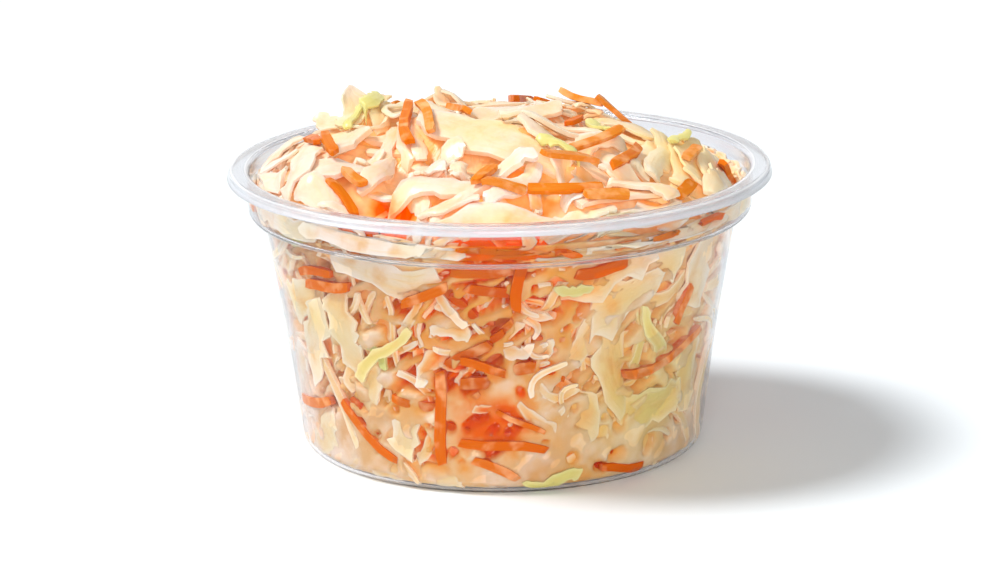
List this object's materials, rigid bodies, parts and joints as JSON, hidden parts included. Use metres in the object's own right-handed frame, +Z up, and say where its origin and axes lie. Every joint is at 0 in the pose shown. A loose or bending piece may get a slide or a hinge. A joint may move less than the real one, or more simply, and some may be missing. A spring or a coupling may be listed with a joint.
{
  "type": "cup of coleslaw",
  "caption": "Single helping of creamy shredded cabbage and carrot salad, heaped above the rim of a round clear plastic cup with a stepped collar and a turned-down lip.",
  "frame": {"origin": "centre of the cup's foot, on the surface that it stands on", "axes": "+Z up along the cup's axis; -Y is the front; +X is the side where the salad lies lower against the wall"},
  "size_m": [0.095, 0.095, 0.0594],
  "materials": {
    "clear_plastic": "clear thermoformed plastic sheet, smooth and glossy, faintly grey where it is seen edge on",
    "dressed_salad": "cream cabbage and orange carrot shreds, wet with a thin creamy dressing"
  },
  "bodies": {
    "root": {"cup": "clear_plastic", "coleslaw": "dressed_salad"}
  },
  "joints": []
}
